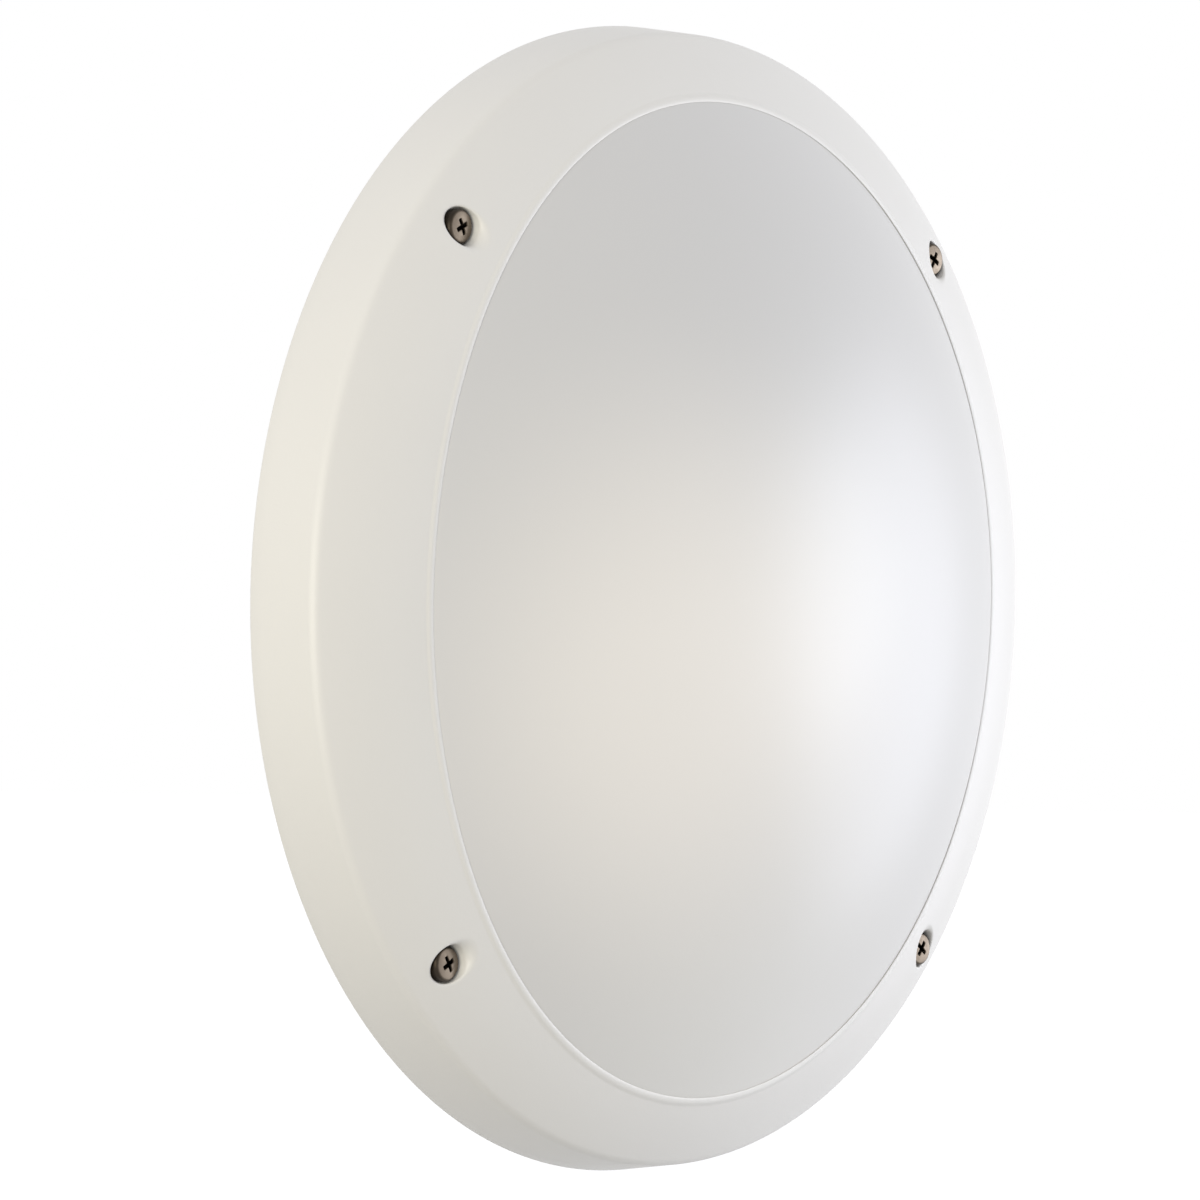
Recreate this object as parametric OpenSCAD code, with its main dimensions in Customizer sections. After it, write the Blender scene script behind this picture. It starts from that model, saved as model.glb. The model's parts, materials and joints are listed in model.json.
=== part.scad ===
// Round bulkhead light for a wall or a ceiling.
// A moulded base is screwed to the wall. A crowned bezel with an oval opening clamps an
// opal diffuser and its seal to the base with four screws, and a small globe lamp lies inside.
// The back lies on the wall at Y = 0, the front faces -Y, and +Z is up.
// Pieces are drawn with x to the right, y up and z out of the wall, and then stood up by facing().

/* [Bezel] */
// Overall diameter at the wall
body_d = 300; // [290:1:320]
// Height of the flank, from the wall to the crease
flank_h = 19.5; // [18.5:0.5:22]
// How far the flank leans in on its way up to the crease
flank_lean = 2.5; // [1:0.5:4]
// Radius of the rounding on the crease
crease_r = 4; // [2:0.5:6]
// Radius of the arc of the crowned face
crown_r = 85; // [78:1:100]
// Slope of the crowned face at the crease, in degrees
crown_slope = 36; // [33:0.5:38]
// Wall of the bezel
bezel_wall = 3; // [2.4:0.1:3.4]
// Gap between the bezel's rim and the wall it hangs on
rim_gap = 0.6; // [0.2:0.1:2]

/* [Opening] */
// Width of the bezel's band at the sides of the oval opening
band_side = 32.5; // [31:0.5:37]
// Width of the bezel's band above and below the opening
band_end = 20.5; // [19:0.5:25]
// Width of the bead round the opening
bead_w = 2.4; // [1:0.1:3]
// How far the bead stands out of the crowned face
bead_h = 0.3; // [0.2:0.1:1.2]
// Wall of the collar behind the opening's edge
collar_wall = 2.5; // [1.5:0.1:3.5]

/* [Diffuser] */
// Height of the dome's crest above the wall
dome_top = 68; // [64:1:76]
// Wall of the diffuser
dome_wall = 2.5; // [1.8:0.1:3.5]
// Gap between the diffuser's skirt and the bezel's collar
dome_gap = 0.3; // [0.2:0.1:1]
// How far the dome's edge lies below the opening's edge
dome_step = 0.4; // [0.2:0.1:2]
// How far the flange reaches past the opening
flange_reach = 4; // [3:0.1:4.5]
// Thickness of the flange
flange_t = 2.5; // [1.8:0.1:3]

/* [Seal] */
// Width of the seal's strip
gasket_w = 3; // [2:0.1:4]
// Depth of the groove that the seal lies in
groove_d = 2.5; // [1.5:0.1:4]
// How far the seal stands out of its groove
gasket_proud = 1; // [0.5:0.1:1.5]

/* [Base] */
// Gap between the base and the inside of the bezel's flank
base_gap = 1.5; // [1:0.1:3]
// Depth of the hollow behind the floor
back_d = 4; // [3:0.1:6]
// Thickness of the floor
floor_t = 2.5; // [2:0.1:3.5]
// Width of the foot ring
foot_w = 4; // [3:0.5:8]
// Height of the oval rim above the wall
rim_z = 14; // [12:0.5:15]
// Wall on each side of the seal's groove
rim_wall = 2; // [1.5:0.1:3]
// Number of ribs behind the floor
rib_count = 12; // [6:1:18]
// Thickness of a rib
rib_t = 2; // [1.5:0.1:3]
// How far the ribs stay back from the wall
rib_gap = 0.5; // [0.2:0.1:1.5]
// Diameter of the hub where the ribs meet
hub_d = 30; // [20:1:40]
// Height of the pads and saddles on the floor
pad_h = 3; // [2:0.1:4]

/* [Cover screws] */
// Distance of the cover screws from the bezel's outer edge
cover_inset = 14; // [13.5:0.1:15.5]
// Angle of the cover screws above and below the middle, in degrees
cover_angle = 43; // [41:0.5:45]
// Diameter of the screw head
head_d = 9.2; // [8:0.1:9.8]
// Height of the screw head
head_h = 3.2; // [2.8:0.1:4]
// Height of the straight edge of the screw head
head_edge = 1.6; // [1.2:0.1:2.4]
// Diameter of the screw's shank
shank_d = 4.8; // [4:0.1:5]
// Length of the shank
shank_l = 13; // [10:0.5:14]
// Diameter of the pocket round the head
pocket_d = 10; // [9.8:0.1:12]
// Depth of the head's seat below the crowned face, on the screw's axis
seat_depth = 4.2; // [4:0.1:6]
// Wall round the pocket
pocket_wall = 2.4; // [1.6:0.1:2.6]
// Diameter of the post in the base
post_d = 12; // [10:0.5:13]

/* [Wall fixing] */
// Distance of the two wall screws from the sides of the oval opening
fixing_inset = 22.5; // [20:0.5:28]
// Bore of the rubber bush, for the wall screw
fixing_bore = 5.2; // [4.5:0.1:6]
// Diameter of the bush's neck
bush_neck_d = 8.2; // [7.5:0.1:9]
// Diameter of the bush's flange
bush_flange_d = 15; // [12:0.5:17]
// Thickness of the bush's flange
bush_flange_t = 2.5; // [1.5:0.1:4]
// Diameter of the pad behind a fixing hole
fixing_pad_d = 18; // [14:0.5:22]

/* [Cable entry] */
// Distance of the cable entry from the middle, to the left
entry_left = 40; // [34:1:46]
// Height of the cable entry and the connector above the middle
wiring_up = 58; // [54:1:64]
// Bore of the grommet
cable_d = 7; // [5:0.1:8]
// Diameter of the hole in the floor
entry_d = 16; // [14:0.5:18]
// Reach of the grommet's flanges past the hole
grommet_lip = 2.5; // [1.5:0.1:3]
// Height of the grommet's cone
grommet_h = 5; // [3:0.5:8]
// Wall of the grommet at its tip
grommet_wall = 1.5; // [1:0.1:2]
// Distance of the cord clamp from the middle, to the left
clamp_left = 6; // [2:1:10]
// Length of the clamp across the cable
clamp_l = 32; // [30:1:36]
// Width of the clamp along the cable
clamp_w = 9; // [7:0.5:11]
// Thickness of the clamp
clamp_t = 5.5; // [5:0.1:7]
// Spacing of the clamp's screws
clamp_span = 22; // [20:0.5:24]

/* [Connector] */
// Distance of the connector from the middle, to the right
block_right = 40; // [36:1:44]
// Length of the connector along its tubes
block_l = 24; // [22:0.5:28]
// Distance between the two tubes
pole_pitch = 14; // [12.5:0.5:16]
// Height of the tubes above the pads
tube_up = 6.5; // [6:0.1:8]
// Outer diameter of a tube
tube_d = 6; // [5.5:0.1:6.4]
// Bore of a tube
tube_bore = 3.6; // [3:0.1:4]
// Diameter of a wire screw
wire_screw_d = 3; // [2.5:0.1:3.2]
// Length of a wire screw
wire_screw_l = 6; // [5:0.1:7]
// Distance of a wire screw from the end of its tube
wire_screw_in = 4.5; // [3.5:0.1:5.5]
// Wall of the connector's body
block_wall = 1.6; // [1.2:0.1:2]

/* [Lamp] */
// How far the lamp lies below the middle
lamp_down = 12; // [8:1:16]
// Distance of the globe's centre from the middle, to the left
globe_left = 50; // [46:1:54]
// Diameter of the globe
globe_d = 45; // [40:0.5:46]
// Overall length of the lamp
lamp_l = 78; // [74:0.5:82]
// Diameter of the lamp's screw cap
cap_d = 26.4; // [26:0.1:26.6]
// Length of the screw cap, from the collar to its shoulder
cap_l = 19; // [17:0.5:20]
// Diameter of the collar above the cap
collar_d = 30; // [28:0.5:32]
// Length of the collar
collar_l = 4; // [3:0.5:6]
// Diameter of the contact at the lamp's end
contact_d = 9.6; // [8:0.1:11]
// Length of the contact
contact_l = 2; // [1:0.1:3]

/* [Lampholder] */
// Clearance between the cap and the holder's shell
shell_gap = 0.3; // [0.2:0.05:0.5]
// Thickness of the shell
shell_t = 0.6; // [0.4:0.1:0.8]
// Clearance between the shell and the holder's body
shell_seat = 0.1; // [0.05:0.05:0.3]
// Gap between the lamp's collar and the holder's mouth
mouth_gap = 1; // [0.5:0.1:2]
// Wall of the holder's skirt
holder_wall = 5.2; // [4:0.1:6]
// Number of grip flutes round the skirt
flute_count = 24; // [16:1:32]
// Depth of the contact's spring
spring_h = 1.8; // [1.5:0.1:2.5]
// Thickness of the contact's strip
strip_t = 0.5; // [0.3:0.1:0.6]
// Width of the contact's strip
strip_w = 6; // [4:0.5:8]
// Thickness of the holder's closed end
holder_end = 12; // [10:0.5:14]
// Diameter of the holder's closed end
holder_end_d = 35; // [34:0.5:37]
// Diameter of the spigot that carries the holder
spigot_d = 10; // [8:0.5:11]
// Length of the spigot
spigot_l = 9; // [8:0.5:11]
// Size of the nut across its flats
nut_af = 14; // [13:0.5:15]
// Thickness of the nut
nut_t = 5; // [4:0.5:6]

/* [Bracket] */
// Thickness of the bracket's sheet
sheet_t = 1.5; // [1:0.1:2]
// Width of the bracket
bracket_w = 18; // [17:0.5:19]
// Length of the bracket's foot
bracket_foot = 34; // [30:0.5:38]
// Inner radius of the bracket's bend
bend_r = 2; // [1:0.5:3]
// Spacing of the bracket's two screws
bracket_span = 16; // [14:0.5:18]

/* [Inner screws] */
// Diameter of the inner screws' heads
small_head_d = 6; // [5:0.1:6.5]
// Height of the inner screws' heads
small_head_h = 2; // [1.5:0.1:2.5]
// Diameter of the inner screws' shanks
small_shank_d = 2.9; // [2.5:0.1:3]
// Depth that the inner screws reach into their pads
small_reach = 4; // [3:0.1:4.4]

/* [Leads] */
// Diameter of the inner leads
lead_d = 2.4; // [2:0.1:2.6]
// Distance of the lead terminals from the edge of the lampholder's closed end
lead_edge = 5; // [4.5:0.1:5.5]
// How far a lead goes into its terminal
lead_in = 5; // [4:0.5:6]

/* [Hidden] */

$fn = 96;
// Overshoot of a cutting shape past the face that it cuts
over = 1;
// Clearance round a shank, a tube or a bush in its hole
fit_gap = 0.1;
// Room above the crowned face for the shapes that cut it
head_room = 10;
// How far the bezel's section runs in past the opening before the oval is cut
section_spare = 8;
// Cross recess, as shares of the head: width, slot and core across, and depth down
recess_wide = 0.58;
recess_slot = 0.12;
recess_core = 0.24;
recess_deep = 0.58;
// Colours
white_moulding = [0.90, 0.89, 0.86];
opal_moulding = [0.93, 0.92, 0.90];
stainless = [0.48, 0.44, 0.40];
zinc = [0.72, 0.73, 0.74];
brass = [0.78, 0.62, 0.32];
rubber = [0.20, 0.20, 0.21];
natural_nylon = [0.86, 0.85, 0.80];

// The oval opening
opening_w = body_d - 2 * band_side;
opening_h = body_d - 2 * band_end;

// The bezel's section: a straight flank, a crown arc, and a rounding between them
crease_x = body_d / 2 - flank_lean;
crown_c = [crease_x - crown_r * sin(crown_slope), flank_h - crown_r * cos(crown_slope)];
flank_foot = [body_d / 2, 0];
flank_dir = [-flank_lean, flank_h] / norm([flank_lean, flank_h]);
flank_in = [-flank_dir[1], flank_dir[0]];
section_top = crown_c[1] + crown_r + head_room;
section_in = opening_w / 2 - section_spare;
function crown_z(r, out = 0) = crown_c[1] + sqrt(pow(crown_r + out, 2) - pow(r - crown_c[0], 2));
function flank_x(z, inset) = (body_d / 2) - flank_lean * z / flank_h + inset / flank_in[0];
crease_start = flank_foot + flank_in * crease_r - crown_c;
crease_run = -crease_start * flank_dir + sqrt(pow(crease_start * flank_dir, 2)
    - crease_start * crease_start + pow(crown_r - crease_r, 2));
crease_c = flank_foot + flank_in * crease_r + flank_dir * crease_run;
crease_on_flank = crease_c - flank_in * crease_r;
crease_on_crown = crown_c + (crease_c - crown_c) * crown_r / (crown_r - crease_r);
crease_tip = crease_c + ([crease_x, flank_h] - crease_c) * 2;

// Heights of the clamped stack
floor_z = back_d + floor_t;
pad_z = floor_z + pad_h;
flange_z = rim_z + gasket_proud;
clamp_z = flange_z + flange_t;
base_r = flank_x(floor_z, bezel_wall) - base_gap;

// Cover screws and wall screws
cover_r = body_d / 2 - cover_inset;
cover_at = [cover_r * cos(cover_angle), cover_r * sin(cover_angle)];
seat_z = crown_z(cover_r) - seat_depth;
fixing_x = opening_w / 2 - fixing_inset;

// The dome: an arc across and an arc up and down, both through the same crest
function arc_radius(half, rise) = (half * half + rise * rise) / (2 * rise);
dome_rx = arc_radius(opening_w / 2 - dome_gap, dome_top - crown_z(opening_w / 2) + dome_step);
dome_ry = arc_radius(opening_h / 2 - dome_gap, dome_top - crown_z(opening_h / 2) + dome_step);
function dome_reach(y) = dome_rx - dome_ry + sqrt(pow(dome_ry - dome_wall, 2) - y * y);
function dome_inside_z(x, y) = dome_top - dome_rx + sqrt(pow(dome_reach(y), 2) - x * x);

// The lamp lies half way between the floor and the dome at the outer half of its globe
lamp_tip = -globe_left - globe_d / 2;
lamp_z = (floor_z + dome_inside_z(globe_left + globe_d / 4, lamp_down)) / 2;
cap_at = lamp_l - contact_l - (cap_d - contact_d) / 4 - cap_l;
shell_r = cap_d / 2 + shell_gap;
cavity_r = shell_r + shell_t + shell_seat;
holder_r = cavity_r + holder_wall;
mouth_at = cap_at + mouth_gap;
cavity_end = lamp_l + spring_h;
holder_back = cavity_end + holder_end;
flange_seat = holder_back - holder_end / 2;
plate_x = lamp_tip + holder_back;

// Wiring
tube_z = pad_z + tube_up;
tube_l = block_l - 2 * block_wall;
wire_screw_z = tube_z + lead_d / 2;
block_w = pole_pitch + tube_d + 2 * block_wall;
block_hole_d = small_shank_d + 2 * fit_gap;
lead_off = holder_end_d / 2 - lead_edge;

// Stands a piece up from the drawing plane, so that z points out of the wall
module facing() {
    rotate([90, 0, 0]) children();
}

module oval(grow) {
    scale([opening_w / 2 + grow, opening_h / 2 + grow]) circle(r = 1);
}

module oval_block(grow, z0, z1) {
    translate([0, 0, z0]) linear_extrude(z1 - z0) oval(grow);
}

module oval_ring(grow_in, grow_out, z0, z1) {
    difference() {
        oval_block(grow_out, z0, z1);
        oval_block(grow_in, z0 - over, z1 + over);
    }
}

module at_cover_screws() {
    for (sx = [-1, 1], sy = [-1, 1])
        translate([sx * cover_at[0], sy * cover_at[1], 0]) children();
}

module at_fixings() {
    for (side = [-1, 1])
        translate([side * fixing_x, 0, 0]) children();
}

module at_entry() {
    translate([-entry_left, wiring_up, 0]) children();
}

module at_clamp() {
    translate([-clamp_left, wiring_up, 0]) children();
}

module at_clamp_screws() {
    at_clamp() for (side = [-1, 1])
        translate([0, side * clamp_span / 2, 0]) children();
}

module at_block() {
    translate([block_right, wiring_up, 0]) children();
}

module at_poles() {
    at_block() for (side = [-1, 1])
        translate([0, side * pole_pitch / 2, tube_z]) rotate([0, 90, 0]) children();
}

module at_wire_screws() {
    at_block() for (side = [-1, 1], end = [-1, 1])
        translate([end * (tube_l / 2 - wire_screw_in), side * pole_pitch / 2, wire_screw_z]) children();
}

// Lays a piece that is drawn from the lamp's tip upwards along the lamp's axis, towards +x
module on_lamp_axis() {
    translate([lamp_tip, -lamp_down, lamp_z]) rotate([0, 90, 0]) children();
}

module at_bracket_screws() {
    foot_mid = plate_x + bend_r + sheet_t + (bracket_foot - bend_r - sheet_t) / 2;
    for (side = [-1, 1])
        translate([foot_mid + side * bracket_span / 2, -lamp_down, 0]) children();
}

// A pan head with a cross recess, drawn on its seat, and the shank below it
module pan_screw(d, h, edge, shank, length) {
    cap_r = arc_radius(d / 2, h - edge);
    difference() {
        union() {
            rotate_extrude() intersection() {
                translate([0, h - cap_r]) circle(r = cap_r);
                square([d / 2, h]);
            }
            translate([0, 0, -length]) cylinder(d = shank, h = length + edge / 2);
        }
        translate([0, 0, h * (1 - recess_deep)]) {
            for (turn = [0, 90])
                rotate([0, 0, turn]) translate([-d * recess_wide / 2, -d * recess_slot / 2, 0])
                    cube([d * recess_wide, d * recess_slot, h]);
            cylinder(d = d * recess_core, h = h);
        }
    }
}

module small_screw(seat) {
    translate([0, 0, seat])
        pan_screw(small_head_d, small_head_h, small_head_h / 3, small_shank_d, seat - pad_z + small_reach);
}

module small_pilot() {
    translate([0, 0, pad_z - small_reach - over / 2])
        cylinder(d = small_shank_d + 2 * fit_gap, h = small_reach + over);
}

// Section of the bezel

module flank_side(inset) {
    z0 = inset > 0 ? rim_gap - over : rim_gap;
    polygon([
        [0, z0],
        [flank_x(z0, inset), z0],
        [flank_x(section_top, inset), section_top],
        [0, section_top]
    ]);
}

module crown_disc(out) {
    translate(crown_c) circle(r = crown_r + out, $fn = 360);
}

module outside_section() {
    difference() {
        intersection() {
            flank_side(0);
            crown_disc(0);
        }
        polygon([crease_on_flank, crease_tip, crease_on_crown]);
    }
    translate(crease_c) circle(r = crease_r);
}

module bezel_section() {
    intersection() {
        difference() {
            outside_section();
            intersection() {
                flank_side(bezel_wall);
                crown_disc(-bezel_wall);
            }
        }
        translate([section_in, 0]) square([body_d, section_top]);
    }
}

// What stands behind the face reaches half way into its wall, so that it joins the moulding
module under_face() {
    rotate_extrude() intersection() {
        flank_side(bezel_wall / 2);
        crown_disc(-bezel_wall / 2);
        translate([section_in, 0]) square([body_d, section_top]);
    }
}

module bezel() {
    color(white_moulding) facing() difference() {
        union() {
            rotate_extrude() bezel_section();
            intersection() {
                union() {
                    oval_ring(-over, collar_wall, clamp_z, section_top);
                    at_cover_screws() translate([0, 0, clamp_z])
                        cylinder(d = pocket_d + 2 * pocket_wall, h = section_top);
                }
                under_face();
            }
            intersection() {
                oval_ring(-over, bead_w, clamp_z, section_top);
                rotate_extrude() intersection() {
                    difference() {
                        crown_disc(bead_h);
                        crown_disc(-bezel_wall / 2);
                    }
                    translate([section_in, 0]) square([crease_x - section_in, section_top]);
                }
            }
        }
        oval_block(0, 0, section_top + over);
        at_cover_screws() {
            translate([0, 0, seat_z]) cylinder(d = pocket_d, h = section_top);
            cylinder(d = shank_d + 4 * fit_gap, h = section_top);
        }
    }
}

// Diffuser

// Everything inside the dome's surface: an upright arc turned about an upright axis behind the wall
module dome_barrel(inset) {
    translate([0, 0, dome_top - dome_rx]) rotate([-90, 0, 0]) rotate_extrude($fn = 360) intersection() {
        translate([dome_rx - dome_ry, 0]) circle(r = dome_ry - inset, $fn = 360);
        translate([0, -opening_h]) square([dome_rx, 2 * opening_h]);
    }
}

module diffuser() {
    skirt_in = -dome_gap - dome_wall;
    color(opal_moulding) facing() difference() {
        union() {
            intersection() {
                oval_block(-dome_gap, flange_z, dome_top + over);
                dome_barrel(0);
            }
            oval_block(flange_reach, flange_z, clamp_z);
        }
        intersection() {
            oval_block(skirt_in, flange_z - over, dome_top + over);
            dome_barrel(dome_wall);
        }
    }
}

module cover_gasket() {
    color(rubber) facing() oval_ring(0, gasket_w, rim_z - groove_d, flange_z);
}

module cover_screws() {
    color(stainless) facing() at_cover_screws() translate([0, 0, seat_z])
        pan_screw(head_d, head_h, head_edge, shank_d, shank_l);
}

// Base

module base_housing() {
    pilot_z = seat_z - shank_l - over;
    color(white_moulding) facing() difference() {
        union() {
            translate([0, 0, back_d]) cylinder(r = base_r, h = floor_t);
            difference() {
                cylinder(r = base_r, h = floor_z);
                translate([0, 0, -over]) cylinder(r = base_r - foot_w, h = floor_z + 2 * over);
            }
            cylinder(d = hub_d, h = floor_z);
            for (i = [0 : rib_count - 1])
                rotate([0, 0, i * 360 / rib_count]) translate([0, -rib_t / 2, rib_gap])
                    cube([base_r - foot_w / 2, rib_t, floor_z - rib_gap - floor_t / 2]);
            at_fixings() cylinder(d = fixing_pad_d, h = floor_z - floor_t / 2);
            oval_ring(-rim_wall, gasket_w + rim_wall, floor_z - floor_t / 2, rim_z);
            at_cover_screws() translate([0, 0, back_d]) cylinder(d = post_d, h = clamp_z - back_d);
            floor_pads();
        }
        oval_ring(0, gasket_w, rim_z - groove_d, rim_z + over);
        at_cover_screws() translate([0, 0, pilot_z]) cylinder(d = shank_d + 2 * fit_gap, h = clamp_z);
        at_fixings() translate([0, 0, -over]) cylinder(d = bush_neck_d + 2 * fit_gap, h = floor_z + 2 * over);
        at_entry() {
            translate([0, 0, -over]) cylinder(d = entry_d + 2 * fit_gap, h = floor_z + 2 * over);
            translate([0, 0, -over]) cylinder(d = entry_d + 4 * grommet_lip, h = back_d + over);
        }
        at_clamp() translate([0, 0, pad_z]) rotate([0, 90, 0])
            cylinder(d = cable_d, h = clamp_w + 2 * over, center = true);
        at_clamp_screws() small_pilot();
        at_block() small_pilot();
        at_bracket_screws() small_pilot();
    }
}

// Pads under the clamp, the connector and the bracket
module floor_pads() {
    depth = floor_z - floor_t / 2;
    height = pad_z - depth;
    at_clamp() translate([-clamp_w / 2, -clamp_l / 2, depth]) cube([clamp_w, clamp_l, height]);
    at_block() translate([-block_l / 2, -block_w / 2, depth]) cube([block_l, block_w, height]);
    translate([plate_x, -lamp_down - bracket_w / 2, depth])
        cube([bracket_foot, bracket_w, height]);
}

module fixing_seals() {
    color(rubber) facing() at_fixings() difference() {
        union() {
            translate([0, 0, rib_gap]) cylinder(d = bush_neck_d, h = floor_z);
            translate([0, 0, floor_z]) cylinder(d = bush_flange_d, h = bush_flange_t);
        }
        cylinder(d = fixing_bore, h = floor_z + bush_flange_t + over);
    }
}

module cable_grommet() {
    lip_d = entry_d + 2 * grommet_lip;
    tip_z = floor_z + grommet_lip;
    color(rubber) facing() at_entry() difference() {
        union() {
            translate([0, 0, back_d - grommet_lip]) cylinder(d = lip_d, h = grommet_lip);
            translate([0, 0, back_d - grommet_lip]) cylinder(d = entry_d, h = floor_t + 2 * grommet_lip);
            translate([0, 0, floor_z]) cylinder(d = lip_d, h = grommet_lip);
            translate([0, 0, tip_z]) cylinder(d1 = entry_d, d2 = cable_d + 2 * grommet_wall, h = grommet_h);
        }
        cylinder(d = cable_d, h = tip_z + grommet_h + over);
    }
}

module cord_clamp() {
    color(natural_nylon) facing() at_clamp() difference() {
        translate([-clamp_w / 2, -clamp_l / 2, pad_z]) cube([clamp_w, clamp_l, clamp_t]);
        translate([0, 0, pad_z]) rotate([0, 90, 0])
            cylinder(d = cable_d, h = clamp_w + 2 * over, center = true);
        for (side = [-1, 1])
            translate([0, side * clamp_span / 2, pad_z - over])
                cylinder(d = small_shank_d + 2 * fit_gap, h = clamp_t + 2 * over);
    }
}

module clamp_screws() {
    color(zinc) facing() at_clamp_screws() small_screw(pad_z + clamp_t);
}

// Connector

module terminal_block() {
    tower_d = wire_screw_d + 2 * block_wall;
    top_z = wire_screw_z + wire_screw_l + block_wall;
    color(natural_nylon) facing() difference() {
        union() {
            at_block() translate([-block_l / 2, -block_w / 2, pad_z]) cube([block_l, block_w, tube_up]);
            at_poles() cylinder(d = tube_d + 2 * block_wall, h = block_l, center = true);
            at_wire_screws() translate([0, 0, tube_z - wire_screw_z])
                cylinder(d = tower_d, h = top_z - tube_z);
        }
        at_poles() {
            cylinder(d = tube_d + 2 * fit_gap, h = tube_l, center = true);
            cylinder(d = tube_bore, h = block_l + 2 * over, center = true);
        }
        at_wire_screws() cylinder(d = wire_screw_d + 2 * fit_gap, h = top_z);
        at_block() {
            cylinder(d = block_hole_d, h = top_z);
            translate([0, 0, tube_z - small_head_h]) cylinder(d = small_head_d + 4 * fit_gap, h = top_z);
        }
    }
}

module terminal_tubes() {
    color(brass) facing() difference() {
        at_poles() cylinder(d = tube_d, h = tube_l, center = true);
        at_poles() cylinder(d = tube_bore, h = tube_l + 2 * over, center = true);
        at_wire_screws() cylinder(d = wire_screw_d + 2 * fit_gap, h = tube_d);
    }
}

module terminal_screws() {
    slot_w = wire_screw_d / 4;
    color(zinc) facing() at_wire_screws() difference() {
        cylinder(d = wire_screw_d, h = wire_screw_l);
        translate([-wire_screw_d, -slot_w / 2, wire_screw_l - slot_w])
            cube([2 * wire_screw_d, slot_w, over + slot_w]);
    }
}

module block_screw() {
    color(zinc) facing() at_block() small_screw(tube_z - small_head_h);
}

// Bracket, lampholder and lamp

module holder_bracket() {
    plate_top = lamp_z - pad_z + bracket_w / 2;
    color(zinc) facing() difference() {
        translate([plate_x, -lamp_down + bracket_w / 2, pad_z]) rotate([90, 0, 0])
            linear_extrude(bracket_w) bracket_section(plate_top);
        translate([plate_x, -lamp_down, lamp_z]) rotate([0, 90, 0])
            cylinder(d = spigot_d + 2 * fit_gap, h = 4 * sheet_t, center = true);
        bracket_shoulders();
        at_bracket_screws() translate([0, 0, pad_z - over])
            cylinder(d = small_shank_d + 2 * fit_gap, h = sheet_t + 2 * over);
    }
}

// Folded sheet seen from the side: an upright plate, a bend and a foot
module bracket_section(plate_top) {
    bend_out = bend_r + sheet_t;
    translate([0, bend_out]) square([sheet_t, plate_top - bend_out]);
    translate([bend_out, 0]) square([bracket_foot - bend_out, sheet_t]);
    intersection() {
        translate([bend_out, bend_out]) difference() {
            circle(r = bend_out);
            circle(r = bend_r);
        }
        square(bend_out);
    }
}

// Rounds the plate's top about the spigot
module bracket_shoulders() {
    translate([plate_x - over, -lamp_down, lamp_z]) rotate([0, 90, 0]) rotate([0, 0, 90]) difference() {
        translate([-bracket_w, 0, 0]) cube([2 * bracket_w, bracket_w, sheet_t + 2 * over]);
        translate([0, 0, -over]) cylinder(d = bracket_w, h = sheet_t + 4 * over);
    }
}

module bracket_screws() {
    color(zinc) facing() at_bracket_screws() small_screw(pad_z + sheet_t);
}

module holder_nut() {
    color(zinc) facing() on_lamp_axis() translate([0, 0, holder_back + sheet_t]) difference() {
        cylinder(d = nut_af / cos(30), h = nut_t, $fn = 6);
        translate([0, 0, -over]) cylinder(d = spigot_d + 2 * fit_gap, h = nut_t + 2 * over);
    }
}

module lampholder_body() {
    flute_d = 2;
    color(white_moulding) facing() on_lamp_axis() difference() {
        union() {
            translate([0, 0, mouth_at]) cylinder(r = holder_r, h = flange_seat - mouth_at);
            translate([0, 0, flange_seat - over])
                cylinder(d = holder_end_d, h = holder_back - flange_seat + over);
            translate([0, 0, holder_back - over]) cylinder(d = spigot_d, h = spigot_l + over);
        }
        translate([0, 0, mouth_at - over]) cylinder(r = cavity_r, h = cavity_end - mouth_at + over);
        for (i = [0 : flute_count - 1])
            rotate([0, 0, i * 360 / flute_count])
                translate([holder_r + flute_d / 4, 0, mouth_at + holder_wall])
                    cylinder(d = flute_d, h = flange_seat - mouth_at - 2 * holder_wall);
        at_lead_terminals() {
            translate([0, 0, -lead_in - over]) cylinder(d = lead_d + 2 * fit_gap, h = lead_in + 2 * over);
            translate([0, 0, -lead_in / 2]) rotate([-90, 0, 0])
                cylinder(d = wire_screw_d + 2 * fit_gap, h = holder_end_d);
        }
    }
}

// The two lead terminals in the holder's closed end, with y pointing away from the axis
module at_lead_terminals() {
    for (turn = [0, 180])
        rotate([0, 0, turn]) translate([0, lead_off, holder_back]) children();
}

module lampholder_shell() {
    shell_l = lamp_l - contact_l - mouth_at - spring_h;
    color(brass) facing() on_lamp_axis() translate([0, 0, mouth_at + mouth_gap]) difference() {
        cylinder(r = shell_r + shell_t, h = shell_l);
        translate([0, 0, -over]) cylinder(r = shell_r, h = shell_l + 2 * over);
    }
}

// A strip folded back on itself: one leg on the cavity's end, one under the lamp's contact
module lampholder_contact() {
    leg = contact_d;
    color(brass) facing() on_lamp_axis() translate([-leg / 2, strip_w / 2, lamp_l]) rotate([90, 0, 0])
        linear_extrude(strip_w) {
            square([leg, strip_t]);
            translate([0, spring_h - strip_t]) square([leg, strip_t]);
            translate([leg, spring_h / 2]) intersection() {
                difference() {
                    circle(d = spring_h);
                    circle(d = spring_h - 2 * strip_t);
                }
                translate([0, -spring_h]) square(2 * spring_h);
            }
        }
}

module holder_screws() {
    screw_l = holder_end_d / 2 - lead_off - lead_d / 2;
    color(zinc) facing() on_lamp_axis() at_lead_terminals()
        translate([0, lead_d / 2, -lead_in / 2]) rotate([-90, 0, 0]) cylinder(d = wire_screw_d, h = screw_l);
}

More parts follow.
